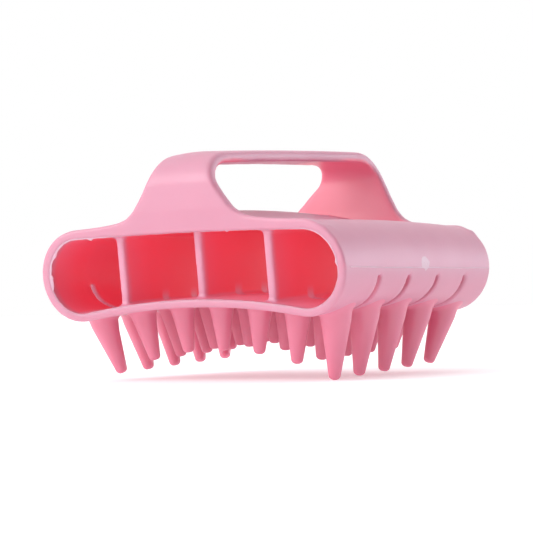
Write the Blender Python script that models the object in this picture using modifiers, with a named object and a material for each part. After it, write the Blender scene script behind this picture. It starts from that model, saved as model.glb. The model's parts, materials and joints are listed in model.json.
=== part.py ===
"""Scalp massager brush: a hollow arched body, a finger strap over it and 35 flexing tines below.

Frame: X runs along the long side of the open front, Y runs from the front opening to the back one,
Z is up. The origin is under the middle of the brush, level with its lowest tine tips. Metres.
"""

import math

import bmesh
import bpy
from mathutils import Matrix, Vector

# ---- driving dimensions ---------------------------------------------------------------------
PARTING_Z = 0.03619  # height of the mould's parting plane above the lowest tips
HALF_WIDTH = 0.060  # half of the body along X
HALF_DEPTH = 0.0507  # half of the body along Y, measured in the parting plane
RIM_LEAN = 0.1134  # how far each open rim steps outward for every metre of height
WALL = 0.0029  # thickness of the shells and the dividers
GAP = 0.0003  # clearance between neighbouring solids

END_RADIUS = 0.0153  # round ends of the body
END_X = HALF_WIDTH - END_RADIUS  # centre of the right round end
END_Z = -0.0005  # its height from the parting plane
FLOOR_HALF = 0.0420  # where the arched floor meets the round ends
FLOOR_SWEEP = math.radians(100.0)  # how far each lower end arc turns before the floor
FLOOR_ARCH = 2.0  # 1/m, curvature term of the floor across the width
CROWN_DROP = 0.4  # 1/m, the same for the top
FLOOR_RISE = 0.0027  # how much higher the floor is at mid-depth than at the rims
CROWN_RISE = 0.0010  # the same for the top
SPINE_HEIGHT = 0.0032  # low swelling of the top between the two legs of the strap
SPINE_HALF = 0.0165  # its half-width along X

DIVIDER_X = 0.0294  # the outer dividers, left and right of the middle one
DIVIDER_DEPTHS = {"left": 0.0478, "middle": 0.0446, "right": 0.0478}  # half lengths along Y

COLUMNS = 7  # tines along X
ROWS = 5  # tines along Y
COLUMN_PITCH = 0.01569  # at the roots
COLUMN_PITCH_TIP = 0.01427  # at the tips, so that the columns converge downward
ROW_PITCH = 0.01614
ROW_PITCH_TIP = 0.01575
ROW_BOW = 0.15  # rows and slots bow outward by this share at BOW_X
BOW_X = 0.050
TIP_Z = -0.02495  # middle tips, from the parting plane
TIP_ARCH = 3.93  # 1/m, how the field of tips hollows to fit a head
TIP_RISE_Y = 0.046  # tips get higher toward the back
TIP_RISE_X = -0.023  # and slightly lower toward the right
TIP_RADIUS = 0.0018
TINE_TAPER = math.tan(math.radians(8.8))
ROOT_CONE = math.tan(math.radians(12.0))  # a hollow root edge lets a tine lean without touching

SLOT_WIDTH = 0.0019
SLOT_TOP = -0.0028  # slots climb the round ends to just under the parting plane
SLOT_BRIDGE = 0.0032  # solid floor left on each side of a divider's middle

STRAP_THICKNESS = 0.0036
STRAP_TOP = 0.0422  # crown of the strap at its middle, from the parting plane
STRAP_RISE = 0.050  # the strap gets higher toward the back
LEG_Y = 0.0551  # outer face of each leg at LEG_MID_Z
LEG_MID_Z = 0.030
SHOULDER_Y = 0.0400  # where the shoulder curve ends and the flat of the strap starts
STRAP_CROWN = 0.0009  # the strap's edges lie this much lower than its middle
STRAP_SAG = 0.0004  # how much lower the flat of the strap is where the shoulder starts
STRAP_EDGE = 0.0007  # bevel along the strap's edges
LEG_LEAN = 0.6 * RIM_LEAN  # the legs lean a little less than the rims
# Half-widths of the strap against height, from the flared foot to the shoulder.
STRAP_WIDTHS = (
    (0.0160, 0.0360),
    (0.0168, 0.0285),
    (0.0180, 0.0238),
    (0.0200, 0.0199),
    (0.0235, 0.0170),
    (0.0280, 0.0142),
    (0.0330, 0.0117),
    (0.0380, 0.0101),
    (0.0426, 0.0097),
)
STRAP_WAIST = 0.0090  # half-width at the middle of the strap

PINK = (0.86, 0.30, 0.44)
LIGHT_PINK = (0.90, 0.38, 0.52)

SHELL_STEPS = 34  # segments around half of the body's outline
DEPTH_STEPS = 10  # segments from rim to rim
OVERRUN = 0.006  # shells run past their rims and are then trimmed flat
PARTING_OVERRUN = math.radians(5.0)  # the same past the parting plane
BLOCK = 0.3  # size of the trimming blocks
TINE_SIDES = 12
ROOT_CHAMFER = 0.0006  # small blunt edge around a tine's root
DIVIDER_STEPS = 10
SLOT_CUT_DEPTH = 0.022  # the slot bars reach this far below SLOT_TOP


# ---- scene helpers --------------------------------------------------------------------------
def clear_scene():
    for obj in list(bpy.data.objects):
        bpy.data.objects.remove(obj, do_unlink=True)


def new_collection(name):
    collection = bpy.data.collections.new(name)
    bpy.context.scene.collection.children.link(collection)
    return collection


def plastic(name, colour):
    material = bpy.data.materials.new(name)
    material.use_nodes = True
    shader = material.node_tree.nodes["Principled BSDF"]
    shader.inputs["Base Color"].default_value = (*colour, 1.0)
    shader.inputs["Roughness"].default_value = 0.42
    shader.inputs["Metallic"].default_value = 0.0
    material.diffuse_color = (*colour, 1.0)
    return material


def add_object(name, mesh, collection, material=None):
    obj = bpy.data.objects.new(name, mesh)
    collection.objects.link(obj)
    if material is not None:
        mesh.materials.append(material)
    return obj


def as_cutter(obj):
    obj.hide_render = True
    obj.display_type = "WIRE"
    return obj


def cut(obj, cutter):
    boolean = obj.modifiers.new("cut_" + cutter.name, "BOOLEAN")
    boolean.operation = "DIFFERENCE"
    boolean.solver = "EXACT"
    boolean.object = cutter


def smooth(mesh):
    mesh.shade_smooth()
    mesh.set_sharp_from_angle(angle=math.radians(35.0))


def sheet(name, columns, rows, surface):
    """A grid whose points are placed by surface(u, v), with u and v from -1 to 1."""
    bm = bmesh.new()
    bmesh.ops.create_grid(bm, x_segments=columns, y_segments=rows, size=1.0)
    for vertex in bm.verts:
        vertex.co = surface(vertex.co.x, vertex.co.y)
    mesh = bpy.data.meshes.new(name)
    bm.to_mesh(mesh)
    bm.free()
    smooth(mesh)
    return mesh


# ---- the body's form ------------------------------------------------------------------------
def depth_rise(y):
    """1 at mid-depth and 0 at the rims."""
    return 1.0 - (y / HALF_DEPTH) ** 2


def bow(x):
    """Rows of tines and slots bow toward the rims away from the middle."""
    return 1.0 + ROW_BOW * (x / BOW_X) ** 2


def crown(x, y):
    """Height of the body's outer top."""
    spine = SPINE_HEIGHT * math.exp(-((x / SPINE_HALF) ** 2))
    level = END_Z + END_RADIUS + CROWN_DROP * (END_X**2 - x**2)
    return level + (CROWN_RISE + spine) * max(depth_rise(y), 0.0)


def flat_floor(x):
    """Height of the body's outer floor and lower end arcs, without the rise at mid-depth."""
    x = abs(x)
    if x <= FLOOR_HALF:
        edge = END_Z - END_RADIUS * math.sin(FLOOR_SWEEP)
        return edge + FLOOR_ARCH * (FLOOR_HALF**2 - x**2)
    reach = min(x - END_X, END_RADIUS)
    return END_Z - math.sqrt(END_RADIUS**2 - reach**2)


def underside(x, y):
    """Height of the body's outer floor."""
    level = flat_floor(x)
    share = min((END_Z - level) / END_RADIUS, 1.0)
    return level + FLOOR_RISE * share * depth_rise(y)


def end_arc(distance, sweep):
    """Angle on the round end, walking from the flat part until just past the parting plane."""
    total = END_RADIUS * sweep
    return sweep - distance / total * (sweep + PARTING_OVERRUN)


def upper_surface(u, v):
    y = v * (HALF_DEPTH + OVERRUN)
    walked = abs(u) * (END_X + END_RADIUS * math.pi / 2)
    side = math.copysign(1.0, u)
    if walked <= END_X:
        x = walked
        z = crown(x, y)
    else:
        angle = end_arc(walked - END_X, math.pi / 2)
        x = END_X + END_RADIUS * math.cos(angle)
        z = END_Z + END_RADIUS * math.sin(angle)
        z += CROWN_RISE * math.sin(angle) * max(depth_rise(y), 0.0)
    return Vector((side * x, y, PARTING_Z + z))


def lower_surface(u, v):
    y = v * (HALF_DEPTH + OVERRUN)
    walked = abs(u) * (FLOOR_HALF + END_RADIUS * FLOOR_SWEEP)
    side = math.copysign(1.0, u)
    if walked <= FLOOR_HALF:
        x = walked
        z = underside(x, y)
    else:
        angle = end_arc(walked - FLOOR_HALF, FLOOR_SWEEP)
        x = END_X + END_RADIUS * math.cos(angle)
        level = END_Z - END_RADIUS * math.sin(angle)
        z = level + FLOOR_RISE * min(math.sin(angle), 1.0) * depth_rise(y)
    return Vector((-side * x, y, PARTING_Z + z))


def block(name, corner, placing, collection):
    """A big trimming block that starts at placing and reaches away along corner."""
    bm = bmesh.new()
    bmesh.ops.create_cube(bm, size=BLOCK)
    bm.transform(placing @ Matrix.Translation(Vector(corner) * BLOCK / 2))
    mesh = bpy.data.meshes.new(name)
    bm.to_mesh(mesh)
    bm.free()
    return as_cutter(add_object(name, mesh, collection))


def rim_cutters(collection):
    """Two blocks whose inner faces are the leaning rim planes."""
    cutters = []
    for name, side in (("front_rim_cutter", -1.0), ("back_rim_cutter", 1.0)):
        lean = Matrix.Rotation(-side * math.atan(RIM_LEAN), 4, "X")
        placing = Matrix.Translation((0.0, side * HALF_DEPTH, PARTING_Z)) @ lean
        cutters.append(block(name, (0.0, side, 0.0), placing, collection))
    return cutters


def parting_cutter(name, side, collection):
    """A block that trims a shell flat at the parting plane, half a gap short of it."""
    placing = Matrix.Translation((0.0, 0.0, PARTING_Z + END_Z - side * GAP / 2))
    return block(name, (0.0, 0.0, side), placing, collection)


def bays():
    """Spans of floor between the dividers, along X."""
    left, right = -DIVIDER_X, DIVIDER_X
    past_end = HALF_WIDTH + 0.002
    return (
        (-past_end, left - SLOT_BRIDGE),
        (left + SLOT_BRIDGE, -SLOT_BRIDGE),
        (SLOT_BRIDGE, right - SLOT_BRIDGE),
        (right + SLOT_BRIDGE, past_end),
    )


def slot_cutter(collection):
    """Bowed bars between the rows of tines, one for each slot and bay."""
    name = "slot_cutter"
    bm = bmesh.new()
    for index in range(ROWS - 1):
        line = (index - (ROWS - 2) / 2) * ROW_PITCH
        for start, stop in bays():
            bar = bmesh.new()
            bmesh.ops.create_grid(bar, x_segments=7, y_segments=1, size=0.5)
            bottom = bar.faces[:]
            grown = bmesh.ops.extrude_face_region(bar, geom=bottom)
            for item in grown["geom"]:
                if isinstance(item, bmesh.types.BMVert):
                    item.co.z = 1.0
            for vertex in bar.verts:
                x = start + (vertex.co.x + 0.5) * (stop - start)
                y = line * bow(x) + vertex.co.y * SLOT_WIDTH
                z = PARTING_Z + SLOT_TOP - (1.0 - vertex.co.z) * SLOT_CUT_DEPTH
                vertex.co = Vector((x, y, z))
            bmesh.ops.recalc_face_normals(bar, faces=bar.faces)
            part = bpy.data.meshes.new("bar")
            bar.to_mesh(part)
            bar.free()
            bm.from_mesh(part)
            bpy.data.meshes.remove(part)
    mesh = bpy.data.meshes.new(name)
    bm.to_mesh(mesh)
    bm.free()
    return as_cutter(add_object(name, mesh, collection))


def shell(name, surface, collection, material):
    mesh = sheet(name, SHELL_STEPS, DEPTH_STEPS, surface)
    obj = add_object(name, mesh, collection, material)
    solidify = obj.modifiers.new("wall", "SOLIDIFY")
    solidify.thickness = WALL
    solidify.offset = -1.0
    solidify.use_even_offset = True
    return obj


# ---- dividers -------------------------------------------------------------------------------
def divider(name, x, half_length, collection, material):
    """An upright plate whose edges follow the floor and the top with a small clearance."""
    steps = DIVIDER_STEPS
    reach = WALL / 2
    outline = []
    for index in range(steps + 1):
        y = -half_length + 2 * half_length * index / steps
        floor = max(underside(x - reach, y), underside(x + reach, y)) + WALL + GAP
        lean = math.copysign(RIM_LEAN * floor, y) if index in (0, steps) else 0.0
        outline.append((y + lean, floor))
    for index in reversed(range(steps + 1)):
        y = -half_length + 2 * half_length * index / steps
        top = min(crown(x - reach, y), crown(x + reach, y)) - WALL - GAP
        lean = math.copysign(RIM_LEAN * top, y) if index in (0, steps) else 0.0
        outline.append((y + lean, top))
    curve = bpy.data.curves.new(name, "CURVE")
    curve.dimensions = "2D"
    curve.fill_mode = "BOTH"
    curve.extrude = WALL / 2
    spline = curve.splines.new("POLY")
    spline.points.add(len(outline) - 1)
    for point, (y, z) in zip(spline.points, outline):
        point.co = (y, z, 0.0, 1.0)
    spline.use_cyclic_u = True
    curve.materials.append(material)
    obj = bpy.data.objects.new(name, curve)
    collection.objects.link(obj)
    obj.location = (x, 0.0, PARTING_Z)
    obj.rotation_euler = (math.pi / 2, 0.0, math.pi / 2)
    return obj


# ---- strap ----------------------------------------------------------------------------------
def strap_side(z):
    """Y of a leg's outer face at a height below the shoulder."""
    return LEG_Y + LEG_LEAN * min(z - LEG_MID_Z, 0.0)


def strap_path(distance):
    """(y, z) of the strap's outer face, for 0 at its middle to 1 at the foot of a leg."""
    foot = STRAP_WIDTHS[0][0]
    flat = SHOULDER_Y
    shoulder = math.pi / 4 * (LEG_Y - SHOULDER_Y + STRAP_TOP - LEG_MID_Z)
    walked = distance * (flat + shoulder + LEG_MID_Z - foot)
    if walked < flat:
        return walked, STRAP_TOP - STRAP_SAG * (walked / flat) ** 2
    if walked < flat + shoulder:
        angle = (walked - flat) / shoulder * math.pi / 2
        y = SHOULDER_Y + (LEG_Y - SHOULDER_Y) * math.sin(angle)
        z = LEG_MID_Z + (STRAP_TOP - STRAP_SAG - LEG_MID_Z) * math.cos(angle)
        return y, z
    z = LEG_MID_Z - (walked - flat - shoulder)
    return strap_side(z), z


def strap_half_width(y, z):
    """Straight lines between the stated heights, and a waist at mid-strap."""
    if y < SHOULDER_Y:
        share = 0.5 - 0.5 * math.cos(math.pi * y / SHOULDER_Y)
        return STRAP_WAIST + (STRAP_WIDTHS[-1][1] - STRAP_WAIST) * share
    for (low, wide), (high, narrow) in zip(STRAP_WIDTHS, STRAP_WIDTHS[1:]):
        if z <= high:
            share = max((z - low) / (high - low), 0.0)
            return wide + (narrow - wide) * share
    return STRAP_WIDTHS[-1][1]


def strap_surface(u, v):
    y, z = strap_path(abs(v))
    half = strap_half_width(y, z)
    upright = min(max((y - SHOULDER_Y) / (LEG_Y - SHOULDER_Y), 0.0), 1.0)
    y = math.copysign(y, v)
    foot = STRAP_WIDTHS[0][0]
    z += STRAP_RISE * y * min((z - foot) / (LEG_MID_Z - foot), 1.0)
    z -= STRAP_CROWN * u * u * (1.0 - upright)
    return Vector((u * half, y, PARTING_Z + z))


def strap(collection, material):
    mesh = sheet("finger_strap", 6, 48, strap_surface)
    obj = add_object("finger_strap", mesh, collection, material)
    solidify = obj.modifiers.new("thickness", "SOLIDIFY")
    solidify.thickness = STRAP_THICKNESS
    solidify.offset = -1.0
    solidify.use_even_offset = True
    bevel = obj.modifiers.new("edges", "BEVEL")
    bevel.width = STRAP_EDGE
    bevel.segments = 2
    bevel.limit_method = "ANGLE"
    bevel.angle_limit = math.radians(50.0)
    return obj


# ---- tines ----------------------------------------------------------------------------------
def tine_root(column, row):
    x = (column - (COLUMNS - 1) / 2) * COLUMN_PITCH
    y = (row - (ROWS - 1) / 2) * ROW_PITCH * bow(x)
    return Vector((x, y, PARTING_Z + underside(x, y)))


def tine_tip(column, row):
    x = (column - (COLUMNS - 1) / 2) * COLUMN_PITCH_TIP
    y = (row - (ROWS - 1) / 2) * ROW_PITCH_TIP
    root_x = (column - (COLUMNS - 1) / 2) * COLUMN_PITCH
    z = TIP_Z - TIP_ARCH * root_x**2 + TIP_RISE_X * root_x + TIP_RISE_Y * y
    return Vector((x, y, PARTING_Z + z))


def down_from(x, y):
    """Outward normal of the floor at a root."""
    step = 0.001
    slope_x = (underside(x + step, y) - underside(x - step, y)) / (2 * step)
    slope_y = (underside(x, y + step) - underside(x, y - step)) / (2 * step)
    return Vector((slope_x, slope_y, -1.0)).normalized()


def tine_profile(length):
    """(radius, distance from the floor) from the middle of the root to the end of the tip."""
    root = TIP_RADIUS + TINE_TAPER * length
    edge = GAP + root * ROOT_CONE
    start = length - TIP_RADIUS
    inner = root - ROOT_CHAMFER
    points = [(0.0, GAP), (inner, GAP + inner * ROOT_CONE), (root, edge + ROOT_CHAMFER)]
    points.append((TIP_RADIUS, start))
    for angle in (30.0, 60.0):
        turn = math.radians(angle)
        points.append((TIP_RADIUS * math.cos(turn), start + TIP_RADIUS * math.sin(turn)))
    points.append((0.0, length))
    return points


def tine(name, column, row, collection, material):
    """A blunt cone turned about Z, then sheared so that it leans toward the middle of the brush."""
    root = tine_root(column, row)
    tip = tine_tip(column, row)
    normal = down_from(root.x, root.y)
    along = Vector((1.0, 0.0, 0.0))
    side = normal.cross(along).normalized()
    along = side.cross(normal).normalized()
    frame = Matrix((along, side, normal)).transposed()
    reach = frame.transposed() @ (tip - root)
    pivot = GAP + (TIP_RADIUS + TINE_TAPER * reach.z) * ROOT_CONE

    bm = bmesh.new()
    verts = [bm.verts.new((radius, 0.0, z)) for radius, z in tine_profile(reach.z)]
    edges = [bm.edges.new(pair) for pair in zip(verts, verts[1:])]
    bmesh.ops.spin(
        bm,
        geom=verts + edges,
        cent=(0.0, 0.0, 0.0),
        axis=(0.0, 0.0, 1.0),
        angle=2 * math.pi,
        steps=TINE_SIDES,
        use_merge=True,
    )
    bmesh.ops.remove_doubles(bm, verts=bm.verts, dist=0.00001)
    for vertex in bm.verts:
        vertex.co.x += vertex.co.z * reach.x / reach.z
        vertex.co.y += vertex.co.z * reach.y / reach.z
    bmesh.ops.recalc_face_normals(bm, faces=bm.faces)
    hinge = Vector((pivot * reach.x / reach.z, pivot * reach.y / reach.z, pivot))
    bm.transform(frame.to_4x4() @ Matrix.Translation(-hinge))
    mesh = bpy.data.meshes.new(name)
    bm.to_mesh(mesh)
    bm.free()
    smooth(mesh)
    obj = add_object(name, mesh, collection, material)
    obj.location = root + frame @ hinge
    return obj


# ---- the whole brush ------------------------------------------------------------------------
def build():
    clear_scene()
    brush = new_collection("scalp_massager_brush")
    cutters = new_collection("cutters")
    body_pink = plastic("body_pink", PINK)
    strap_pink = plastic("strap_pink", LIGHT_PINK)
    tine_pink = plastic("tine_pink", PINK)

    upper = shell("upper_shell", upper_surface, brush, body_pink)
    lower = shell("lower_shell", lower_surface, brush, body_pink)
    for cutter in rim_cutters(cutters):
        cut(upper, cutter)
        cut(lower, cutter)
    cut(upper, parting_cutter("below_parting_cutter", -1.0, cutters))
    cut(lower, parting_cutter("above_parting_cutter", 1.0, cutters))
    cut(lower, slot_cutter(cutters))

    for side, x in (("left", -DIVIDER_X), ("middle", 0.0), ("right", DIVIDER_X)):
        divider("divider_" + side, x, DIVIDER_DEPTHS[side], brush, body_pink)

    strap(brush, strap_pink)

    for row in range(ROWS):
        for column in range(COLUMNS):
            name = f"tine_row{row + 1}_col{column + 1}"
            tine(name, column, row, brush, tine_pink)


build()
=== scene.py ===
"""Looks of the scalp massager brush: one soft pink moulding with 35 flexing tines, on a pale floor.

The body is meshed from a distance field that repeats the CAD's dimensions, so that its members
flow into each other as in one moulding. Metres, in the CAD's frame.
"""

import json
import math

import bpy
import numpy as np
from mathutils import Matrix, Vector, noise


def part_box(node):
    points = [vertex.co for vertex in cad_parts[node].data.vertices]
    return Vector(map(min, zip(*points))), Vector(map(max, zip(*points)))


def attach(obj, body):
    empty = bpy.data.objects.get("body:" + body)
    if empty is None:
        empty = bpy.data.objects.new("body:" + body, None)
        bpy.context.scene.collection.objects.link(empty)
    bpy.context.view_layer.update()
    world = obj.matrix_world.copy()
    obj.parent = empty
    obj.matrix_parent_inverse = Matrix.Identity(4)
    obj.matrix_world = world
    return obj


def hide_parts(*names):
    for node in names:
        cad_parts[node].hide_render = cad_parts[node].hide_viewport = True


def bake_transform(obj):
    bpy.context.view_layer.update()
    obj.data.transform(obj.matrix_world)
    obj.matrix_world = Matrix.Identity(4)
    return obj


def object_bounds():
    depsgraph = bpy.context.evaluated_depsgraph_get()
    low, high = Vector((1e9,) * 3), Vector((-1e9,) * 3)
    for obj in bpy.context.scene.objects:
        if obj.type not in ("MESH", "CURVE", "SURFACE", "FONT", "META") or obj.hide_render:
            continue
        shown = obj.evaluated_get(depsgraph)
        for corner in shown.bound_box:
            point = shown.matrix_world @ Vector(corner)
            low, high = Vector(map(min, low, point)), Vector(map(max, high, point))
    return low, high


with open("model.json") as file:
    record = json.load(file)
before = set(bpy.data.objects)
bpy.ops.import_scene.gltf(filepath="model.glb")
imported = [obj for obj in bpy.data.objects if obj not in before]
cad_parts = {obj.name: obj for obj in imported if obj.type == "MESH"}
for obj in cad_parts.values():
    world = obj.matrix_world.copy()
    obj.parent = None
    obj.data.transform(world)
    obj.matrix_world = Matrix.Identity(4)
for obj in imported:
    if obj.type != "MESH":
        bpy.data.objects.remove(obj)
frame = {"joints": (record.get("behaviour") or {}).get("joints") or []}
cad_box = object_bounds()

# ---- dimensions, most of them repeated from the CAD -------------------------------------------
# Heights in this block are from PARTING_Z. A pair is a range for smooth_step: where a change
# begins and where it is whole.
BODY = "massager_body"
ROWS = 5
COLUMNS = 7

# The hollow body: a flattened tube along y, with round ends.
PARTING = (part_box("upper_shell")[0].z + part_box("lower_shell")[1].z) / 2
EDGE_ROOM = 0.00012  # the parting flash stands this far proud of the round ends
HALF_WIDTH = cad_box[1].x - EDGE_ROOM
END_RADIUS = 0.0153
END_X = HALF_WIDTH - END_RADIUS
END_Z = -0.0005
PARTING_Z = PARTING - END_Z  # the CAD's reference plane, half a millimetre above the parting
FLOOR_HALF = 0.0420
FLOOR_SWEEP = math.radians(100.0)  # of a round end, from its outermost line down to the floor
FLOOR_ARCH = 2.0  # how fast the floor falls away from its middle line, per metre
FLOOR_RISE = 0.0027  # of its middle above its front and back edges
CROWN_DROP = 0.4  # how fast the top falls away from its middle line, per metre
CROWN_RISE = 0.0010
SPINE_HEIGHT = 0.0044  # of the low ridge under the strap
SPINE_HALF = 0.0165
WALL = 0.0029
THICKER_WALL = 0.0008  # added at the front of the left end
THICKER_WALL_X = (-0.044, -0.056)
THICKER_WALL_Y = (-0.030, -0.050)
DIVIDERS = ((-0.0294, 0.0478), (0.0, 0.0446), (0.0294, 0.0478))  # x, half length
DIVIDER_EDGE = 0.0010
DIVIDER_FILLET = 0.0018

# The rims of the two openings. Each end reaches past the middle by its own bow.
HALF_DEPTH = 0.0503  # of the middle
RIM_LEAN = 0.1134  # the rims lean out toward the top by this slope
BOW_X = 0.050
FRONT_LEFT_BOW = 0.0030
FRONT_RIGHT_BOW = 0.0016
BACK_LEFT_BOW = 0.0016
BACK_RIGHT_BOW = -0.0010
RIM_ROUNDING = 0.0012
BACK_RIGHT_ROUNDING = 0.0028
INNER_ROUNDING = 0.0008
CAVITY_EDGE = 0.0007

# The slots between the rows of tines.
ROW_PITCH = 0.01614
ROW_BOW = 0.15  # share by which the rows spread at BOW_X
SLOT_WIDTH = 0.0023
SLOT_TOP = -0.0028  # they end at this height on the round ends
SLOT_BRIDGE = 0.0019  # half width of the bridge under each divider
SLOT_END_ROUNDING = 0.0012
SLOT_CORNER = 0.0005
SLOT_EDGE = 0.0006

# The finger strap: a top bar between two shoulders, and two legs that flare toward the body.
STRAP_THICKNESS = 0.0036
STRAP_EDGE = 0.0016
STRAP_TOP = 0.0421
STRAP_RISE = 0.050  # slope of the top bar toward the back
STRAP_CROWN = 0.0009  # how far the sides of the top bar lie below its middle line
STRAP_SAG = 0.0004  # how far the ends of the top bar lie below its middle
STRAP_TWIST = 0.0007  # the feet's shift to the left in front and to the right behind
STRAP_WAIST = 0.0090  # half width in the middle of the top bar
SHOULDER_Y = 0.0410
LEG_ROOM = 0.0001  # the legs' faces stay this far inside the CAD's
LEG_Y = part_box("finger_strap")[1].y - LEG_ROOM
LEG_LEAN = 0.068
LEG_MID_Z = 0.030  # where the legs' outer faces pass LEG_Y
LEG_FACE_Z = (0.0115, 0.0215)  # between these heights they leave the rims' planes
STRAP_FOOT = 0.0160
STRAP_LOW_END = 0.0125
LOW_END_ROUNDING = 0.0010
# Height and half width of the legs, from the feet up.
STRAP_WIDTHS = (
    (0.0130, 0.0480),
    (0.0148, 0.0400),
    (0.0155, 0.0335),
    (0.0164, 0.0285),
    (0.0178, 0.0241),
    (0.0200, 0.0207),
    (0.0235, 0.0179),
    (0.0280, 0.0151),
    (0.0330, 0.0127),
    (0.0380, 0.0111),
    (0.0440, 0.0106),
)
# The left side of the back leg spreads higher, and is narrower above that.
BACK_LEG_Y = (0.034, 0.046)
BACK_LEFT_X = (0.0, -0.008)
BACK_FLARE = 0.0034
BACK_FLARE_Z = (0.031, 0.022)
BACK_FLARE_X = (-0.036, -0.020)
BACK_NARROWER = 0.0012
BACK_NARROWER_Z = (0.024, 0.030)
# How softly the feet run into the body: more on their inner faces, most under the back leg's left.
FOOT_BLEND_OUTSIDE = 0.0026
FOOT_BLEND = 0.0075
FOOT_BLEND_X = (0.042, 0.022)
FOOT_BLEND_Y = (0.0500, 0.0450)
FOOT_BLEND_BACK = 0.0120
BACK_BLEND_RIGHT = (0.016, -0.016)
BACK_BLEND_LEFT = (-0.036, -0.004)
BACK_BLEND_Y = (0.006, 0.030)

# The tines.
TIP_RADIUS = 0.0018
TIP_CORNER = 0.0015
TIP_FLAT = 0.0004
TINE_TAPER = math.tan(math.radians(8.8))
COLUMN_PITCH_TIP = 0.01427
ROW_PITCH_TIP = 0.01575
TIP_WANDER = 0.0006  # how far the soft tines' tips stray from their rows
PIVOT_BELOW_ROOT = 0.0012
ROOT_LENGTH = 0.0030
# How far below the floor each ring of a tine's root lies, and how much wider it is.
ROOT_FILLET = (
    (-0.0004, 0.0016),
    (0.0001, 0.0009),
    (0.0005, 0.0004),
    (0.0011, 0.0),
    (0.0020, -0.0002),
)

# The marks of the mould.
PARTING_LINE_Y = (-0.0485, 0.0475)
BEAD_RADIUS = 0.00010
BEAD_WAVE = 0.00025
FIN_FRONT = 0.00012  # the fin's place behind the rim
FIN_BACK = 0.00042
FIN_TAPER = 0.0001
FIN_ROOT = 0.0004  # how far the fin starts inside the wall
FIN_REACH = 0.00009
FIN_ROUGHNESS = 0.00007
FIN_FLOOR_LOSS = 0.00030  # along the floor it stays inside the wall
FRINGE_X = (-0.046, -0.054)  # at the left end it is a ragged fringe
FRINGE_LOW = -0.001
FRINGE_REACH = 0.00035
FRINGE_ROUGHNESS = 0.0007
# Torn flakes on the edge of the front opening: x, z, reach inward, half length.
FLASH_FLAKES = (
    (-0.0563, -0.0022, 0.0012, 0.0026),
    (-0.0383, 0.0125, 0.0006, 0.0010),
    (0.0572, 0.0012, 0.0006, 0.0009),
    (0.0160, 0.0130, 0.0003, 0.0008),
)
GATE_Y = 0.0005
GATE_RISE = 0.0021  # above the parting line
GATE_PATCH = (0.0044, 0.0040)  # half length and half height of its patch
GATE_BLOT = (0.0032, 0.0028)  # and of the raised blot on it
GATE_HEIGHT = 0.00010
GATE_PITS = ((-0.0010, -0.0006), (0.0009, -0.0010))
PIT_DEPTH = 0.00008
PIT_SIZE = 0.00030

# The grid that the body is meshed on.
GRID_X = 0.0011
GRID_Y = 0.0014
GRID_Z = 0.0007
GRID_ROOM = 0.0016
GRID_BOTTOM = -0.0175
GRID_TOP = STRAP_TOP + 0.0040
# Its finer stretches: place (where one is given), reach to either side, size.
FINE_RIMS = (0.0525, 0.0065, 0.00045)
FINE_ENDS = (0.0535, 0.0085, 0.0007)
FINE_SLOTS = (0.0030, 0.00055)
FINE_DIVIDERS = (0.0030, 0.0006)
SLOT_LINES_SPREAD = 1.08  # of the slots' places, on average along their bow

# Painted shade and painted light: where the plastic is coloured a deeper red and given a glowing
# emission:
# the inner skin of the hollow, from its edge inward, less on the floor and at the slots' sides, and the
# inner faces of the strap's legs.
INNER_SKIN = (-0.0016, -0.0030)
EDGE_FADE = (0.0, 0.004)
EDGE_SHARE = 0.75
DEPTH_FADE = (0.0, 0.020)
FLOOR_HEIGHT = (0.0012, 0.0004)
FLOOR_DEPTH = (0.060, 0.005)
# Share of the painted shade taken off the floor's front part, as painted light where the front light
# falls.
FLOOR_LIT_SHARE = 0.75
SLOT_SIDES = (0.0011, 0.0003)
SLOT_HEIGHT = (0.0045, 0.0005)
# Share of the painted shade taken off the slots' sides, as painted light where light comes through
# them.
SLOT_LIT_SHARE = 0.95
WALL_GLOW = 0.72
DIVIDER_SKIN = 0.0005
DIVIDER_FADE = (0.0004, 0.0030)
LEG_INNER_SKIN = (-0.0027, -0.0034)
LEG_DEPTH = (-0.0110, -0.0050)
LEG_FADE_Y = (0.024, 0.038)
LEG_FADE_UP = (0.0, 0.0030)
# How much painted shade and painted glow the legs' inner faces get.
LEG_SHADE = 0.5
LEG_GLOW = 0.6

# The camera, the studio's dome and the floor.
CAMERA_PLACE = (0.36058, -0.55828, PARTING_Z - 0.01184)
CAMERA_YAW = math.radians(33.0251)
CAMERA_PITCH = math.radians(-1.1762)
CAMERA_ROLL = math.radians(1.4063)
CAMERA_LENS = 129.12
CAMERA_SHIFT = -0.002
FLOOR_REACH = 6.0
DOME_LEVEL = 1.0
# Direction, width in degrees, change in level and tint of each soft spot on the dome.
DOME = (
    ((1.0, -0.30, 0.25), 80.0, -0.95, (1.0, 1.0, 1.0)),
    ((0.62, 0.78, 0.10), 30.0, 2.8, (0.76, 0.92, 1.0)),
    ((-0.20, -0.40, 1.0), 60.0, 0.5, (1.0, 1.0, 1.0)),
)


# ---- small array helpers ----------------------------------------------------------------------
def smooth_min(a, b, k):
    h = np.maximum(k - np.abs(a - b), 0.0)
    return np.minimum(a, b) - h * h / (4 * k)


def smooth_max(a, b, k):
    return -smooth_min(-a, -b, k)


def smooth_step(low, high, value):
    """0 at low, 1 at high and smooth between them; high may be the lower of the two."""
    t = np.clip((value - low) / (high - low), 0.0, 1.0)
    return t * t * (3 - 2 * t)


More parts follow.
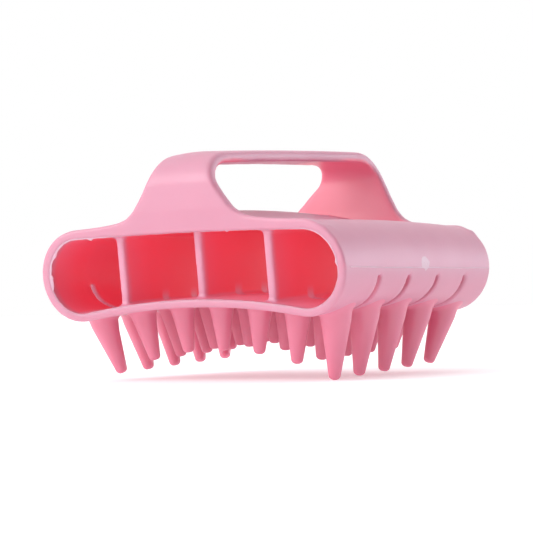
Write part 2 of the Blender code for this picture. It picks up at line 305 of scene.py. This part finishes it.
def spline_table(pairs, steps=24):
    """A dense table of a smooth curve through (key, value) pairs, for np.interp."""
    keys = np.array([p[0] for p in pairs])
    values = np.array([p[1] for p in pairs])
    slopes = np.gradient(values, keys)
    dense_keys = []
    dense_values = []
    for i in range(len(keys) - 1):
        t = np.linspace(0.0, 1.0, steps, endpoint=False)
        span = keys[i + 1] - keys[i]
        h00 = 2 * t**3 - 3 * t**2 + 1
        h10 = t**3 - 2 * t**2 + t
        h01 = -2 * t**3 + 3 * t**2
        h11 = t**3 - t**2
        curve = h00 * values[i] + h10 * span * slopes[i]
        curve += h01 * values[i + 1] + h11 * span * slopes[i + 1]
        dense_keys.append(keys[i] + t * span)
        dense_values.append(curve)
    dense_keys.append(keys[-1:])
    dense_values.append(values[-1:])
    return np.concatenate(dense_keys), np.concatenate(dense_values)


WIDTH_KEYS, WIDTH_VALUES = spline_table(STRAP_WIDTHS)


# ---- the body as a distance field; z is measured from PARTING_Z -------------------------------
def depth_rise(y):
    """How the floor and the top swell from front to back: 0 at the rims, 1 in the middle."""
    return np.maximum(1.0 - (y / HALF_DEPTH) ** 2, 0.0)


def bow(x):
    """How the rows spread toward the round ends."""
    return 1.0 + ROW_BOW * (x / BOW_X) ** 2


def crown(x, y):
    """Height of the top's outer face, with the ridge under the strap."""
    along = np.maximum(1.0 - (y / HALF_DEPTH) ** 4, 0.0)
    spine = SPINE_HEIGHT * np.exp(-((x / SPINE_HALF) ** 2)) * along
    level = END_Z + END_RADIUS + CROWN_DROP * (END_X**2 - x**2)
    return level + CROWN_RISE * depth_rise(y) + spine


def underside(x, y):
    """Height of the floor's lower face."""
    edge = END_Z - END_RADIUS * math.sin(FLOOR_SWEEP)
    level = edge + FLOOR_ARCH * (FLOOR_HALF**2 - x**2)
    share = np.clip((END_Z - level) / END_RADIUS, 0.0, 1.0)
    return level + FLOOR_RISE * share * depth_rise(y)


def outer(x, y, z):
    """Distance from the body's outer skin, as if it had no rims; negative inside."""
    side = np.abs(x)
    rise = depth_rise(y)
    up = z - END_Z
    taller = np.where(up > 0, CROWN_RISE, -FLOOR_RISE) * rise
    round_end = np.hypot(side - END_X, up * END_RADIUS / (END_RADIUS + taller)) - END_RADIUS
    top = z - crown(side, y)
    floor = (underside(side, y) - z) / np.sqrt(1.0 + (2 * FLOOR_ARCH * side) ** 2)
    past_top = (up >= 0) & (side > END_X)
    lean = math.tan(FLOOR_SWEEP - math.pi / 2)
    past_floor = (up < 0) & (side > END_X + up * lean)
    return np.where(past_top | past_floor, round_end, np.maximum(top, floor))


def rim_plane(y, z, depth):
    """Distance beyond the leaning planes of the front and back, which are depth from the middle."""
    return (np.abs(y) - depth - RIM_LEAN * z) / math.sqrt(1 + RIM_LEAN**2)


def rim_depth(x, y):
    """Depth of the rims, which bow outward toward the ends, least at the back right."""
    share = np.minimum(np.abs(x) / BOW_X, 1.0) ** 2
    left = np.where(y < 0, FRONT_LEFT_BOW, BACK_LEFT_BOW)
    right = np.where(y < 0, FRONT_RIGHT_BOW, BACK_RIGHT_BOW)
    reach = np.where(x < 0, left, right)
    return HALF_DEPTH + reach * share


def strap_skin(y, z):
    """Distance from the strap's outer face, seen from the side."""
    side = np.abs(y)
    top = z - (STRAP_TOP - STRAP_SAG * (side / SHOULDER_Y) ** 2)
    a = LEG_Y - SHOULDER_Y
    b = STRAP_TOP - STRAP_SAG - LEG_MID_Z
    dz = np.maximum(z - LEG_MID_Z, 0.0)
    dy = np.maximum(side - SHOULDER_Y - LEG_LEAN * dz * (1.0 - np.minimum(dz / b, 1.0)), 0.0)
    f = np.hypot(dy / a, dz / b)
    g = np.hypot(dy / a**2, dz / b**2) + 1e-9
    shoulder = f * (f - 1.0) / g
    rim = HALF_DEPTH + RIM_LEAN * z
    leg = LEG_Y + LEG_LEAN * (z - LEG_MID_Z)
    face = rim + (leg - rim) * smooth_step(*LEG_FACE_Z, z)
    leg_side = side - face
    below = (side >= SHOULDER_Y) & (z < LEG_MID_Z)
    corner = (side >= SHOULDER_Y) & (z >= LEG_MID_Z)
    return np.where(below, leg_side, np.where(corner, shoulder, top))


def strap_rise(y, z):
    """How far the slope toward the back lifts the strap: not at its feet, whole above its legs."""
    return STRAP_RISE * y * np.clip((z - STRAP_FOOT) / (LEG_MID_Z - STRAP_FOOT), 0.0, 1.0)


def strap_half_width(y, z):
    leg = np.interp(z, WIDTH_KEYS, WIDTH_VALUES)
    share = 0.5 - 0.5 * np.cos(np.pi * np.minimum(np.abs(y) / SHOULDER_Y, 1.0))
    top = STRAP_WAIST + (STRAP_WIDTHS[-1][1] - STRAP_WAIST) * share
    return np.where(np.abs(y) < SHOULDER_Y, top, leg)


def strap(x, y, z):
    """Distance from the strap; negative inside."""
    x = x - STRAP_TWIST * np.clip(y / SHOULDER_Y, -1.0, 1.0)
    z = z - strap_rise(y, z)
    back_left = smooth_step(*BACK_LEG_Y, y) * smooth_step(*BACK_LEFT_X, x)
    flare = BACK_FLARE * back_left * smooth_step(*BACK_FLARE_Z, z)
    raised = z - flare * smooth_step(*BACK_FLARE_X, x)
    narrower = BACK_NARROWER * back_left * smooth_step(*BACK_NARROWER_Z, z)
    half = strap_half_width(y, raised) - narrower
    upright = smooth_step(SHOULDER_Y, LEG_Y, np.abs(y))
    skin = strap_skin(y, z + STRAP_CROWN * (x / half) ** 2 * (1.0 - upright))
    slab = np.maximum(skin, -(skin + STRAP_THICKNESS))
    slope = np.gradient(WIDTH_VALUES, WIDTH_KEYS)
    steep = np.where(np.abs(y) < SHOULDER_Y, 0.0, np.interp(raised, WIDTH_KEYS, slope))
    edge = (np.abs(x) - half) / np.sqrt(1.0 + steep**2)
    return smooth_max(smooth_max(slab, edge, STRAP_EDGE), STRAP_LOW_END - z, LOW_END_ROUNDING)


def slots(x, y, z):
    """The four bowed slots, with a solid bridge left under each divider."""
    bridges = np.minimum.reduce([np.abs(x - at) for at, _ in DIVIDERS])
    cut = np.full(np.shape(x), 1.0)
    for index in range(ROWS - 1):
        line = (index - (ROWS - 2) / 2) * ROW_PITCH
        cut = np.minimum(cut, np.abs(y - line * bow(x)) - SLOT_WIDTH / 2)
    cut = smooth_max(cut, z - SLOT_TOP, SLOT_END_ROUNDING)
    return smooth_max(cut, SLOT_BRIDGE - bridges, SLOT_CORNER)


def cavity_field(x, y, z, skin=None):
    """Distance from the hollow; the wall is thicker at the front of the left end."""
    if skin is None:
        skin = outer(x, y, z)
    thicker = THICKER_WALL * smooth_step(*THICKER_WALL_X, x) * smooth_step(*THICKER_WALL_Y, y)
    return skin + WALL + thicker


def foot_blend(x, y):
    """Blend size of the strap's feet: small on the outer faces, wide on the inner ones."""
    wider = smooth_step(*BACK_BLEND_RIGHT, x) * smooth_step(*BACK_BLEND_LEFT, x)
    inner = FOOT_BLEND + FOOT_BLEND_BACK * wider * smooth_step(*BACK_BLEND_Y, y)
    inner = inner * smooth_step(*FOOT_BLEND_Y, np.abs(y))
    return FOOT_BLEND_OUTSIDE + inner * smooth_step(*FOOT_BLEND_X, np.abs(x))


def body_field(x, y, z):
    """Distance from the whole moulding without its tines; negative inside."""
    skin = outer(x, y, z)
    cavity = cavity_field(x, y, z, skin)
    rim = rim_plane(y, z, rim_depth(x, y))
    outside = np.where((x > 0) & (y > 0), BACK_RIGHT_ROUNDING, RIM_ROUNDING)
    rounding = np.where(skin > -WALL / 2, outside, INNER_ROUNDING)
    shell = smooth_max(np.maximum(skin, -cavity), rim, rounding)
    legs = strap(x, y, z)
    solid = smooth_min(shell, legs, foot_blend(x, y))
    solid = smooth_max(solid, -cavity, CAVITY_EDGE)
    for at, half_length in DIVIDERS:
        plate = np.abs(x - at) - WALL / 2
        plate = smooth_max(plate, rim_plane(y, z, half_length), DIVIDER_EDGE)
        plate = np.maximum(plate, skin + WALL / 2)
        solid = smooth_min(solid, plate, DIVIDER_FILLET)
    return smooth_max(solid, -slots(x, y, z), SLOT_EDGE)


# ---- meshing ----------------------------------------------------------------------------------
def graded(low, high, size, places):
    """Grid lines from low to high: size apart, or finer near places, which are (at, reach, size)."""
    lines = [low]
    while lines[-1] < high:
        step = size
        for at, reach, fine in places:
            if abs(lines[-1] + fine / 2 - at) <= reach:
                step = min(step, fine)
        lines.append(lines[-1] + step)
    return np.array(lines)


def surface_net(axes, values):
    """Vertices and quads around the zero level of values, sampled on a rectilinear grid."""
    cells = tuple(n - 1 for n in values.shape)
    total = int(np.prod(cells))
    sums = np.zeros((3, total))
    count = np.zeros(total)
    quads = []
    inside = values < 0
    for axis in range(3):
        low = tuple(slice(0, -1) if a == axis else slice(None) for a in range(3))
        high = tuple(slice(1, None) if a == axis else slice(None) for a in range(3))
        index = np.array(np.nonzero(inside[low] != inside[high]))
        after = index.copy()
        after[axis] += 1
        start = values[tuple(index)]
        share = start / (start - values[tuple(after)])
        point = [axes[a][index[a]] for a in range(3)]
        point[axis] = point[axis] + share * (axes[axis][after[axis]] - point[axis])
        b, c = [(1, 2), (2, 0), (0, 1)][axis]
        corners = []
        for step_b, step_c in ((0, 0), (-1, 0), (-1, -1), (0, -1)):
            cell = index.copy()
            cell[b] += step_b
            cell[c] += step_c
            flat = np.ravel_multi_index(tuple(cell), cells)
            corners.append(flat)
            count += np.bincount(flat, minlength=total)
            for a in range(3):
                sums[a] += np.bincount(flat, weights=point[a], minlength=total)
        quad = np.stack(corners, axis=1)
        outward = inside[tuple(index)]
        quad[~outward] = quad[~outward][:, ::-1]
        quads.append(quad)
    used = np.nonzero(count)[0]
    place = np.zeros(total, int)
    place[used] = np.arange(len(used))
    return (sums[:, used] / count[used]).T, place[np.concatenate(quads)]


def slope_of(field, points, step=0.00004):
    slope = np.empty_like(points)
    for axis in range(3):
        ahead = points.copy()
        behind = points.copy()
        ahead[:, axis] += step
        behind[:, axis] -= step
        slope[:, axis] = (field(*ahead.T) - field(*behind.T)) / (2 * step)
    return slope


def settle(field, points, rounds=4, reach=0.0004):
    """Moves points onto the field's zero level."""
    for _ in range(rounds):
        slope = slope_of(field, points)
        size = np.maximum((slope**2).sum(axis=1), 0.05)
        move = -field(*points.T)[:, None] * slope / size[:, None]
        length = np.linalg.norm(move, axis=1, keepdims=True)
        points = points + move * np.minimum(1.0, reach / np.maximum(length, 1e-12))
    return points


def mesh_from(name, points, faces):
    mesh = bpy.data.meshes.new(name)
    mesh.from_pydata(np.asarray(points).tolist(), [], faces)
    mesh.validate()
    mesh.shade_smooth()
    return mesh


def add_piece(name, mesh, material):
    obj = bpy.data.objects.new(name, mesh)
    bpy.context.scene.collection.objects.link(obj)
    mesh.materials.clear()
    mesh.materials.append(material)
    return obj


def body_mesh():
    """The moulding without its tines, on a grid that is finer at rims, slots, dividers and ends."""
    slot_lines = [(i - (ROWS - 2) / 2) * ROW_PITCH * SLOT_LINES_SPREAD for i in range(ROWS - 1)]
    near_rims = [(side * FINE_RIMS[0], *FINE_RIMS[1:]) for side in (-1, 1)]
    near_slots = [(line, *FINE_SLOTS) for line in slot_lines]
    divider_edges = [(at, *FINE_DIVIDERS) for at, _ in DIVIDERS]
    round_ends = [(side * FINE_ENDS[0], *FINE_ENDS[1:]) for side in (-1, 1)]
    reach_x = HALF_WIDTH + GRID_ROOM
    reach_y = LEG_Y + GRID_ROOM
    xs = graded(-HALF_WIDTH - GRID_ROOM, reach_x, GRID_X, divider_edges + round_ends)
    ys = graded(-LEG_Y - GRID_ROOM, reach_y, GRID_Y, near_rims + near_slots)
    zs = graded(GRID_BOTTOM, GRID_TOP, GRID_Z, [])
    x, y, z = np.meshgrid(xs, ys, zs, indexing="ij")
    points, faces = surface_net((xs, ys, zs), body_field(x, y, z))
    points = settle(body_field, points)
    points[:, 2] += PARTING_Z
    return mesh_from("moulded_body", points, faces.tolist())


# ---- tines ------------------------------------------------------------------------------------
def skin_below(points, down):
    """How far along down each point has to go to lie on the body's outer skin."""
    walked = np.zeros(len(points))
    step = 0.0001
    for _ in range(12):
        here = points + down * walked[:, None]
        gap = outer(here[:, 0], here[:, 1], here[:, 2] - PARTING_Z)
        ahead = here + down * step
        grown = outer(ahead[:, 0], ahead[:, 1], ahead[:, 2] - PARTING_Z)
        rate = np.clip((grown - gap) / step, 0.25, 2.0)
        walked -= np.clip(gap / rate, -0.002, 0.002)
    return np.clip(walked, -0.008, 0.008)


def tine_shape(root, tip, sides=32):
    """A blunt cone whose flared root follows the floor's skin, and its faces."""
    axis = tip - root
    length = axis.length
    down = axis.normalized()
    across = Vector((1.0, 0.0, 0.0))
    second = down.cross(across).normalized()
    across = np.array(second.cross(down).normalized())
    second = np.array(second)
    root = np.array(root)
    down = np.array(down)
    root_radius = TIP_RADIUS + TINE_TAPER * length
    turn = np.linspace(0.0, 2 * math.pi, sides, endpoint=False)
    spokes = np.outer(np.cos(turn), across) + np.outer(np.sin(turn), second)
    rings = []
    for below, flare in ROOT_FILLET:
        ring = root + spokes * (root_radius + flare)
        start = skin_below(ring, down)
        rings.append(ring + down * (start + below)[:, None])
    start = skin_below(root + spokes * root_radius, down) + ROOT_LENGTH
    stop = length - TIP_CORNER
    for share in np.linspace(0.0, 1.0, 9)[1:]:
        at = start + (stop - start) * share
        radius = TIP_RADIUS + TINE_TAPER * (length - at)
        rings.append(root + spokes * radius[:, None] + down * at[:, None])
    shoulder = TIP_RADIUS + TINE_TAPER * TIP_CORNER
    for angle in (22.0, 45.0, 68.0, 90.0):
        bend = math.radians(angle)
        radius = shoulder - TIP_CORNER * (1.0 - math.cos(bend))
        rings.append(root + spokes * radius + down * (stop + TIP_CORNER * math.sin(bend)))
    rings.append(root + spokes * TIP_FLAT + down * length)
    points = np.concatenate(rings + [[root + down * length]])
    faces = []
    for ring in range(len(rings) - 1):
        for index in range(sides):
            a = ring * sides + index
            b = ring * sides + (index + 1) % sides
            faces.append((a, b, b + sides, a + sides))
    last = (len(rings) - 1) * sides
    for index in range(sides):
        faces.append((last + index, last + (index + 1) % sides, len(points) - 1))
    return points, faces


def tine_ends(row, column):
    """Root and tip of a tine: its joint gives the pivot near the root, its box the tip's height."""
    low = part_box(f"tine_row{row}_col{column}")[0]
    pivot = Vector(JOINTS[f"bend_row{row}_col{column}"]["pos_m"])
    tip_x = (column - (COLUMNS + 1) / 2) * COLUMN_PITCH_TIP
    tip_y = (row - (ROWS + 1) / 2) * ROW_PITCH_TIP
    tip_x += TIP_WANDER * noise.noise(Vector((row * 1.7, column * 1.3, 0.4)))
    tip_y += TIP_WANDER * noise.noise(Vector((row * 1.7, column * 1.3, 7.6)))
    tip = Vector((tip_x, tip_y, low.z))
    return pivot - (tip - pivot).normalized() * PIVOT_BELOW_ROOT, tip


JOINTS = {joint["name"]: joint for joint in frame["joints"]}


# ---- materials --------------------------------------------------------------------------------
def link(tree, a, b):
    tree.links.new(a, b)


def pink_plastic(name, colour, shade_colour):
    """Satin translucent plastic: cloudy colour, fine moulded grain and soft gloss changes.

    Inside the hollow painted shade turns the colour to the deeper red of the last argument, and painted
    light, an emission of that colour, stands for the light that the thin walls let through.
    """
    material = bpy.data.materials.new(name)
    material.use_nodes = True
    tree = material.node_tree
    shader = tree.nodes["Principled BSDF"]
    shader.inputs["Subsurface Weight"].default_value = 0.35
    shader.inputs["Subsurface Radius"].default_value = (1.0, 0.35, 0.45)
    shader.inputs["Subsurface Scale"].default_value = 0.0022
    shader.inputs["IOR"].default_value = 1.6
    shader.inputs["Specular IOR Level"].default_value = 0.8
    place = tree.nodes.new("ShaderNodeTexCoord")

    cloud = tree.nodes.new("ShaderNodeTexNoise")
    cloud.inputs["Scale"].default_value = 60.0
    cloud.inputs["Detail"].default_value = 3.0
    link(tree, place.outputs["Object"], cloud.inputs["Vector"])
    ramp = tree.nodes.new("ShaderNodeMix")
    ramp.data_type = "RGBA"
    ramp.inputs["A"].default_value = (*colour, 1.0)
    ramp.inputs["B"].default_value = (*[c * 0.94 for c in colour], 1.0)
    link(tree, cloud.outputs["Fac"], ramp.inputs["Factor"])

    # Painted shade: the cavity attribute mixes in the deeper red.
    cavity = tree.nodes.new("ShaderNodeAttribute")
    cavity.attribute_name = "cavity"
    inner = tree.nodes.new("ShaderNodeMix")
    inner.data_type = "RGBA"
    inner.inputs["B"].default_value = (*shade_colour, 1.0)
    link(tree, cavity.outputs["Fac"], inner.inputs["Factor"])
    link(tree, ramp.outputs["Result"], inner.inputs["A"])
    link(tree, inner.outputs["Result"], shader.inputs["Base Color"])

    # Painted light: the glow attribute drives an emission in that colour, for light through the thin
    # walls.
    lit = tree.nodes.new("ShaderNodeAttribute")
    lit.attribute_name = "glow"
    glow = tree.nodes.new("ShaderNodeMapRange")
    glow.inputs["To Max"].default_value = 0.23
    link(tree, lit.outputs["Fac"], glow.inputs["Value"])
    link(tree, inner.outputs["Result"], shader.inputs["Emission Color"])
    link(tree, glow.outputs["Result"], shader.inputs["Emission Strength"])

    gloss = tree.nodes.new("ShaderNodeMapRange")
    gloss.inputs["To Min"].default_value = 0.36
    gloss.inputs["To Max"].default_value = 0.50
    link(tree, cloud.outputs["Fac"], gloss.inputs["Value"])
    link(tree, gloss.outputs["Result"], shader.inputs["Roughness"])

    grain = tree.nodes.new("ShaderNodeTexNoise")
    grain.inputs["Scale"].default_value = 900.0
    grain.inputs["Detail"].default_value = 2.0
    link(tree, place.outputs["Object"], grain.inputs["Vector"])
    bump = tree.nodes.new("ShaderNodeBump")
    bump.inputs["Strength"].default_value = 0.12
    bump.inputs["Distance"].default_value = 0.0002
    link(tree, grain.outputs["Fac"], bump.inputs["Height"])
    link(tree, bump.outputs["Normal"], shader.inputs["Normal"])
    return material


# ---- camera, light and floor ------------------------------------------------------------------
def add_camera():
    level = Vector((-math.sin(CAMERA_YAW), math.cos(CAMERA_YAW), 0.0))
    ahead = level * math.cos(CAMERA_PITCH) - Vector((0.0, 0.0, math.sin(CAMERA_PITCH)))
    right = Vector((math.cos(CAMERA_YAW), math.sin(CAMERA_YAW), 0.0))
    up = right.cross(ahead)
    tilted_right = math.cos(CAMERA_ROLL) * right - math.sin(CAMERA_ROLL) * up
    tilted_up = math.sin(CAMERA_ROLL) * right + math.cos(CAMERA_ROLL) * up
    turn = Matrix((tilted_right, tilted_up, -ahead)).transposed()
    data = bpy.data.cameras.new("camera")
    data.sensor_width = 36.0
    data.lens = CAMERA_LENS
    data.shift_x = CAMERA_SHIFT
    data.clip_end = 20.0
    camera = bpy.data.objects.new("camera", data)
    camera.matrix_world = Matrix.Translation(CAMERA_PLACE) @ turn.to_4x4()
    bpy.context.scene.collection.objects.link(camera)
    bpy.context.scene.camera = camera


def add_light(name, place, size, power, aim=(0.0, 0.0, 0.035)):
    data = bpy.data.lights.new(name, "AREA")
    data.shape = "DISK"
    data.size = size
    data.energy = power
    light = bpy.data.objects.new(name, data)
    light.location = place
    light.rotation_euler = (Vector(aim) - Vector(place)).to_track_quat("-Z", "Y").to_euler()
    bpy.context.scene.collection.objects.link(light)


def lobe(tree, towards, width, power):
    """A smooth spot on the dome: power in the direction towards, nothing beyond width."""
    place = tree.nodes.new("ShaderNodeTexCoord")
    dot = tree.nodes.new("ShaderNodeVectorMath")
    dot.operation = "DOT_PRODUCT"
    dot.inputs[1].default_value = Vector(towards).normalized()
    link(tree, place.outputs["Generated"], dot.inputs[0])
    spread = tree.nodes.new("ShaderNodeMapRange")
    spread.interpolation_type = "SMOOTHSTEP"
    spread.inputs["From Min"].default_value = math.cos(math.radians(width))
    spread.inputs["From Max"].default_value = 1.0
    spread.inputs["To Max"].default_value = power
    link(tree, dot.outputs["Value"], spread.inputs["Value"])
    return spread.outputs["Result"]


def studio_dome():
    """White studio walls: darker on the right, with white panels behind on the right and above."""
    world = bpy.data.worlds.new("studio")
    world.use_nodes = True
    tree = world.node_tree
    light = None
    for towards, width, power, tint in DOME:
        spot = tree.nodes.new("ShaderNodeVectorMath")
        spot.operation = "SCALE"
        spot.inputs[0].default_value = tint
        link(tree, lobe(tree, towards, width, power), spot.inputs["Scale"])
        total = tree.nodes.new("ShaderNodeVectorMath")
        link(tree, spot.outputs["Vector"], total.inputs[0])
        total.inputs[1].default_value = (DOME_LEVEL, DOME_LEVEL, DOME_LEVEL)
        if light is not None:
            link(tree, light, total.inputs[1])
        light = total.outputs["Vector"]
    link(tree, light, tree.nodes["Background"].inputs["Color"])
    return world


def add_studio():
    scene = bpy.context.scene
    scene.view_settings.view_transform = "Standard"
    scene.world = studio_dome()
    add_light("key", place=(-0.55, -0.75, 0.45), size=0.7, power=3.0)

    mesh = bpy.data.meshes.new("floor")
    corners = [(x * FLOOR_REACH, y * FLOOR_REACH, 0.0) for x, y in ((-1, -1), (1, -1), (1, 1), (-1, 1))]
    mesh.from_pydata(corners, [], [(0, 1, 2, 3)])
    material = bpy.data.materials.new("floor_paper")
    material.use_nodes = True
    shader = material.node_tree.nodes["Principled BSDF"]
    shader.inputs["Base Color"].default_value = (0.92, 0.92, 0.92, 1.0)
    shader.inputs["Roughness"].default_value = 0.9
    shader.inputs["Emission Color"].default_value = (1.0, 1.0, 1.0, 1.0)
    shader.inputs["Emission Strength"].default_value = 0.30
    floor = add_piece("floor", mesh, material)


# ---- the whole picture ------------------------------------------------------------------------
def body_attributes(mesh):
    """Marks where painted shade and painted light go: in the hollow and on the inner faces of the
    strap's legs.

    cavity is painted shade that turns the plastic a deeper red, and glow is painted light, an emission
    standing for the light that comes through its thin walls.
    """
    points = np.array([v.co for v in mesh.vertices])
    x, y, z = points.T
    z = z - PARTING_Z
    # Painted shade: a deeper red on the hollow's inner skin, growing from the rim inward, lifted by
    # painted light on the lit floor and at the slots' sides; glow is a painted emission.
    inside = smooth_step(*INNER_SKIN, outer(x, y, z))
    behind = -rim_plane(y, z, rim_depth(x, y))
    cavity = EDGE_SHARE * smooth_step(*EDGE_FADE, behind)
    cavity += (1.0 - EDGE_SHARE) * smooth_step(*DEPTH_FADE, behind)
    above_floor = z - underside(x, y) - WALL
    on_floor = smooth_step(*FLOOR_HEIGHT, above_floor) * smooth_step(*FLOOR_DEPTH, behind)
    near_slots = smooth_step(*SLOT_SIDES, slots(x, y, z)) * smooth_step(*SLOT_HEIGHT, above_floor)
    glow = inside * cavity * (WALL_GLOW + (1.0 - WALL_GLOW) * np.maximum(on_floor, near_slots))
    cavity *= (1.0 - FLOOR_LIT_SHARE * on_floor) * (1.0 - SLOT_LIT_SHARE * near_slots)
    # The painted shade fades out toward the dividers' front edges.
    for at, half_length in DIVIDERS:
        on_plate = np.abs(x - at) < WALL / 2 + DIVIDER_SKIN
        edge = smooth_step(*DIVIDER_FADE, -rim_plane(y, z, half_length))
        cavity = np.where(on_plate, cavity * edge, cavity)
    # Painted shade and painted glow on the inner faces of the strap's legs.
    skin = strap_skin(y, z - strap_rise(y, z))
    leg = smooth_step(*LEG_INNER_SKIN, skin) * smooth_step(*LEG_DEPTH, skin)
    leg *= smooth_step(*LEG_FADE_Y, np.abs(y)) * smooth_step(*LEG_FADE_UP, z - crown(x, y))
    for name, value in (
        ("cavity", np.maximum(inside * cavity, LEG_SHADE * leg)),
        ("glow", np.maximum(glow, LEG_GLOW * leg)),
    ):
        layer = mesh.attributes.new(name, "FLOAT", "POINT")
        layer.data.foreach_set("value", value.astype(np.float32))


# ---- moulding marks ---------------------------------------------------------------------------
def strip_mesh(name, sections, closed):
    """A tube through the cross sections, an array of (section, corner, xyz)."""
    count, corners, _ = sections.shape
    faces = []
    for index in range(count if closed else count - 1):
        here = index * corners
        after = (index + 1) % count * corners
        for corner in range(corners):
            across = (corner + 1) % corners
            faces.append((here + corner, after + corner, after + across, here + across))
    if not closed:
        faces.append(tuple(range(corners)))
        faces.append(tuple(range((count - 1) * corners, count * corners))[::-1])
    return mesh_from(name, sections.reshape(-1, 3), faces)


def uneven(place, scale, seed):
    """Smooth noise along a line, from about -0.5 to 0.5; the same on each run."""
    return noise.noise(Vector((place * scale, seed, 0.5)))


def parting_bead(side):
    """The thin line of flash along a round end, where the mould parts."""
    sections = []
    turn = np.linspace(0.0, 2 * math.pi, 8, endpoint=False)
    for y in np.linspace(*PARTING_LINE_Y, 160):
        radius = BEAD_RADIUS * (0.85 + 0.45 * min(uneven(y, 260.0, side), 0.33))
        z = PARTING + BEAD_WAVE * uneven(y, 45.0, side + 4.0)
        out = side * (HALF_WIDTH + radius * np.cos(turn))
        sections.append(np.stack([out, np.full(len(turn), y), z + 1.6 * radius * np.sin(turn)], axis=1))
    return strip_mesh("parting_flash", np.array(sections), closed=False)


def opening_edge():
    """Points around the inner edge of the front opening, with the direction into the hollow."""
    radius = END_RADIUS - WALL
    turn = np.linspace(math.pi / 2, -math.pi / 2, 60)
    line = np.linspace(-END_X, END_X, 150)[1:-1]
    out = END_X + radius * np.cos(turn)
    up = radius * np.sin(turn)
    top = np.full(len(line), END_Z + radius)
    x = np.concatenate([line, out, line[::-1], -out])
    z = np.concatenate([top, END_Z + up, -top, END_Z - up])
    step = 0.00005
    for _ in range(12):
        y = -(rim_depth(x, -1.0) + RIM_LEAN * z)
        gap = cavity_field(x, y, z)
        slope_x = (cavity_field(x + step, y, z) - cavity_field(x - step, y, z)) / (2 * step)
        slope_z = (cavity_field(x, y, z + step) - cavity_field(x, y, z - step)) / (2 * step)
        size = np.maximum(slope_x**2 + slope_z**2, 0.05)
        x = x - 0.8 * gap * slope_x / size
        z = z - 0.8 * gap * slope_z / size
    length = np.sqrt(size)
    y = -(rim_depth(x, -1.0) + RIM_LEAN * z)
    return x, y, z, -slope_x / length, -slope_z / length


def opening_flash():
    """A ragged fin of flash around the front opening, with torn flakes on it."""
    x, y, z, in_x, in_z = opening_edge()
    sections = []
    for index in range(len(x)):
        reach = FIN_REACH + FIN_ROUGHNESS * uneven(index * 0.001, 420.0, 2.0)
        reach -= FIN_FLOOR_LOSS * float(smooth_step(-0.3, 0.3, in_z[index]))
        left = float(smooth_step(*FRINGE_X, x[index]))
        ragged = FRINGE_REACH + FRINGE_ROUGHNESS * uneven(index * 0.001, 300.0, 6.0)
        reach += left * (z[index] > FRINGE_LOW) * max(ragged, 0.0)
        for at_x, at_z, size, width in FLASH_FLAKES:
            apart = math.hypot(x[index] - at_x, z[index] - at_z) / width
            reach += size * math.sqrt(max(1.0 - apart * apart, 0.0))
        wall = (x[index] - FIN_ROOT * in_x[index], z[index] - FIN_ROOT * in_z[index])
        fin = (x[index] + reach * in_x[index], z[index] + reach * in_z[index])
        front = y[index] + FIN_FRONT
        back = y[index] + FIN_BACK
        sections.append(
            [
                (wall[0], front, wall[1] + PARTING_Z),
                (fin[0], front + FIN_TAPER, fin[1] + PARTING_Z),
                (fin[0], back - FIN_TAPER, fin[1] + PARTING_Z),
                (wall[0], back, wall[1] + PARTING_Z),
            ]
        )
    return strip_mesh("opening_flash", np.array(sections), closed=True)


def gate_mark():
    """The rough scar of the injection gate, half way along the right round end."""
    along = np.linspace(-GATE_PATCH[0], GATE_PATCH[0], 64)
    around = np.linspace(-GATE_PATCH[1], GATE_PATCH[1], 60)
    points = []
    for y in along:
        for rise in around:
            rough = noise.noise(Vector((y * 520.0, rise * 520.0, 5.0)))
            fine = noise.noise(Vector((y * 2600.0, rise * 2600.0, 7.0)))
            blot = 0.9 - (y / GATE_BLOT[0]) ** 2 - (rise / GATE_BLOT[1]) ** 2
            blot += 0.45 * rough + 0.15 * fine
            height = GATE_HEIGHT * min(max(blot, -1.0), 0.8)
            for pit_y, pit_z in GATE_PITS:
                apart = math.hypot(y - pit_y, rise - pit_z)
                height -= PIT_DEPTH * math.exp(-((apart / PIT_SIZE) ** 2))
            angle = (GATE_RISE + rise) / END_RADIUS
            radius = END_RADIUS + height
            out = END_X + radius * math.cos(angle)
            points.append((out, GATE_Y + y, PARTING + radius * math.sin(angle)))
    faces = []
    for row in range(len(along) - 1):
        for step in range(len(around) - 1):
            a = row * len(around) + step
            faces.append((a, a + len(around), a + len(around) + 1, a + 1))
    return mesh_from("gate_scar", points, faces)


add_camera()
add_studio()
# The second colour of each is the deeper red of the painted shade and painted glow inside the hollow.
body_pink = pink_plastic("moulded_pink", (0.69, 0.27, 0.39), (0.86, 0.090, 0.15))
tine_pink = pink_plastic("tine_pink_plastic", (0.80, 0.21, 0.33), (0.84, 0.090, 0.15))

mesh = body_mesh()
body_attributes(mesh)
body = add_piece("moulded_body", mesh, body_pink)
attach(body, BODY)
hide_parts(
    "upper_shell",
    "lower_shell",
    "divider_left",
    "divider_middle",
    "divider_right",
    "finger_strap",
)

for row in range(1, ROWS + 1):
    for column in range(1, COLUMNS + 1):
        root, tip = tine_ends(row, column)
        lowest = tine_shape(root, tip)[0][:, 2].min()
        tip.z += tip.z - lowest
        points, faces = tine_shape(root, tip)
        mesh = mesh_from(f"tine_{row}_{column}", points, faces)
        tine = add_piece(f"soft_tine_row{row}_col{column}", mesh, tine_pink)
        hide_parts(f"tine_row{row}_col{column}")
        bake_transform(tine)

flash_pale = pink_plastic("pale_flash", (0.78, 0.44, 0.56), (0.80, 0.40, 0.50))
gate_pale = pink_plastic("pale_gate_scar", (0.73, 0.42, 0.52), (0.80, 0.40, 0.50))
for name, mark, material in (
    ("parting_line_right", parting_bead(1.0), flash_pale),
    ("parting_line_left", parting_bead(-1.0), flash_pale),
    ("opening_flash", opening_flash(), flash_pale),
    ("gate_scar", gate_mark(), gate_pale),
):
    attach(add_piece(name, mark, material), BODY)
